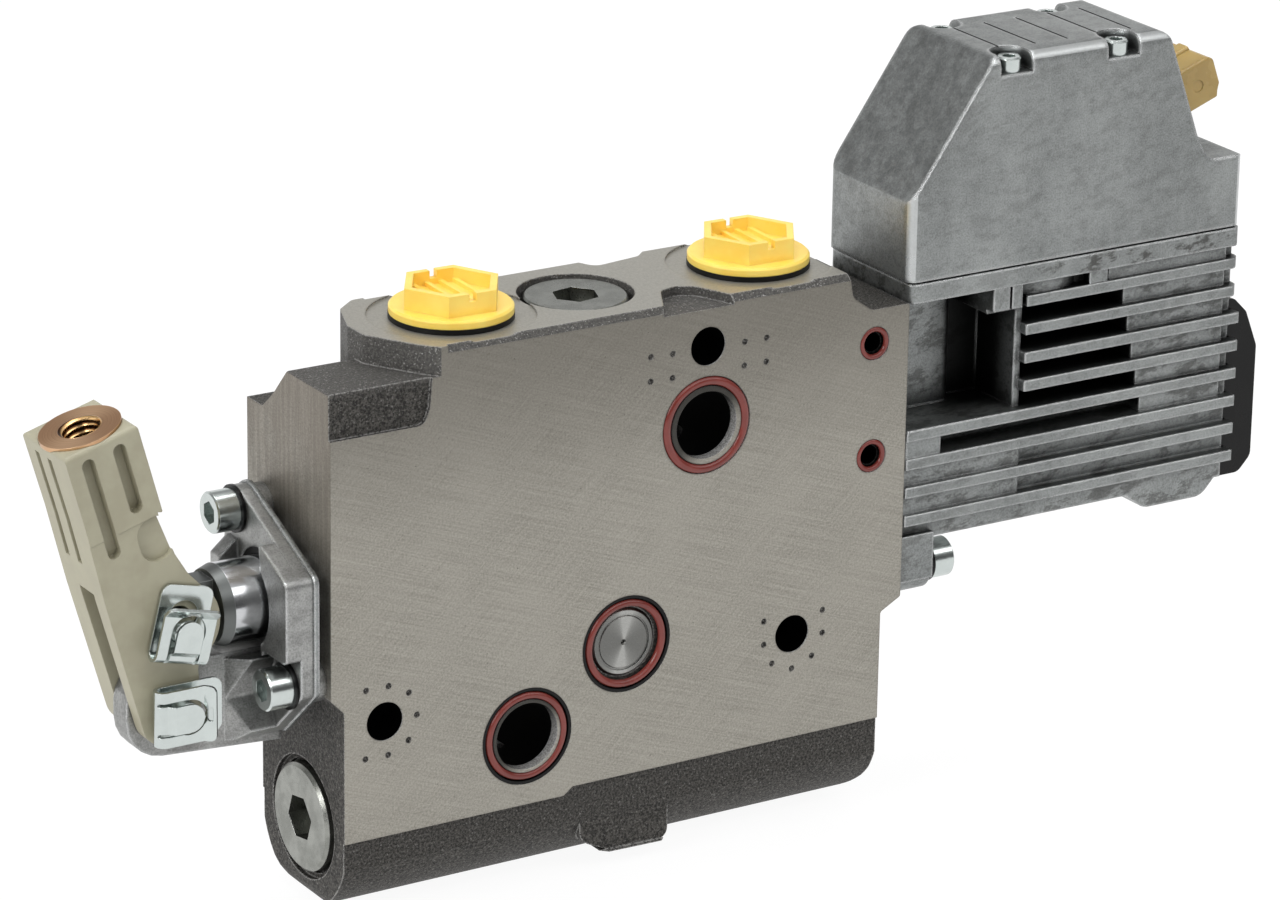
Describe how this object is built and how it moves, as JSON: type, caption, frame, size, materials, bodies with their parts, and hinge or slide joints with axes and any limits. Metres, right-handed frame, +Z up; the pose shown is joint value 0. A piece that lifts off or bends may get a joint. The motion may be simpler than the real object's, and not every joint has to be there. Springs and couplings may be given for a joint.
{
  "type": "hydraulic control valve",
  "caption": "Directional control valve section: flat iron body with seal faces and ports, hand lever at one end, finned electro-hydraulic actuator with raised cover at the other.",
  "frame": {"origin": "centre of the upper gallery bore on the front sealing face", "axes": "+X along the spool from the hand lever towards the actuator, +Y from the front sealing face back through the body, +Z up through the port deck"},
  "size_m": [0.3272, 0.0404, 0.1862],
  "materials": {
    "iron_body": "ground faces, raw cast elsewhere",
    "red_seal": "smooth",
    "black_seal": "smooth",
    "steel_turned": "turned",
    "yellow_plastic": "moulded",
    "spring_steel": "drawn wire",
    "zinc_steel": "bright zinc plated",
    "hard_steel": "ground and polished",
    "lever_plastic": "glass filled, moulded",
    "copper_insert": "turned",
    "diecast": "die cast",
    "base_diecast": "die cast",
    "black_plastic": "moulded",
    "tan_plastic": "moulded",
    "coil_wrap": "wound and taped",
    "board": "lacquered",
    "gold_pins": "plated"
  },
  "bodies": {
    "valve": {"valve_body": "iron_body", "gallery_seals": "red_seal", "signal_seals": "red_seal", "backup_rings": "black_seal", "gallery_plug": "steel_turned", "port_plug_a": "yellow_plastic", "port_plug_b": "yellow_plastic", "port_seal_a": "black_seal", "port_seal_b": "black_seal", "check_plug": "steel_turned", "check_plug_seal": "black_seal", "check_spring": "spring_steel", "compensator_plug": "steel_turned", "compensator_seal": "black_seal", "compensator_spring": "spring_steel", "lever_base": "base_diecast", "lever_base_plate": "diecast", "lever_base_screws": "zinc_steel", "lever_base_washers": "black_plastic", "plunger_seal": "black_seal", "pivot_pin": "zinc_steel", "pivot_clip": "zinc_steel", "centring_spring": "spring_steel", "inner_spring_cup": "steel_turned", "actuator_housing": "diecast", "housing_gasket": "black_seal", "actuator_screws": "zinc_steel", "actuator_washers": "black_plastic", "position_sensor": "steel_turned", "pilot_coils": "coil_wrap", "coil_yokes": "steel_turned", "circuit_board": "board", "electronics_cover": "diecast", "cover_gasket": "black_seal", "cover_screws": "zinc_steel", "connector_shell": "tan_plastic", "connector_pins": "gold_pins", "end_cap": "black_plastic"},
    "spool": {"main_spool": "hard_steel", "plunger": "hard_steel", "spool_pin": "zinc_steel", "spool_clip": "zinc_steel", "outer_spring_cup": "steel_turned", "sensor_core": "steel_turned"},
    "lever": {"lever": "lever_plastic", "lever_insert": "copper_insert"},
    "compensator": {"compensator_piston": "hard_steel"},
    "check": {"check_poppet": "hard_steel"}
  },
  "joints": [
    {"name": "spool_slide", "type": "slide", "parent": "valve", "child": "spool", "axis": [1, 0, 0], "range_m": [-0.007, 0.007], "stiffness_N_per_m": 4000, "deforming": ["centring_spring"]},
    {"name": "lever_swing", "type": "hinge", "parent": "valve", "child": "lever", "pos_m": [-0.1336, 0.02, -0.049], "axis": [0, 1, 0], "range_deg": [-19.5, 19.5]},
    {"name": "compensator_slide", "type": "slide", "parent": "valve", "child": "compensator", "axis": [-1, 0, 0], "range_m": [0, 0.004], "stiffness_N_per_m": 600, "springref_m": -0.005, "deforming": ["compensator_spring"]},
    {"name": "check_slide", "type": "slide", "parent": "valve", "child": "check", "axis": [0, 0, 1], "range_m": [0, 0.003], "stiffness_N_per_m": 600, "springref_m": -0.002, "deforming": ["check_spring"]}
  ],
  "couplings": [
    {"joint": "lever_swing", "follows": "spool_slide", "rad_per_m": 48.096}
  ]
}
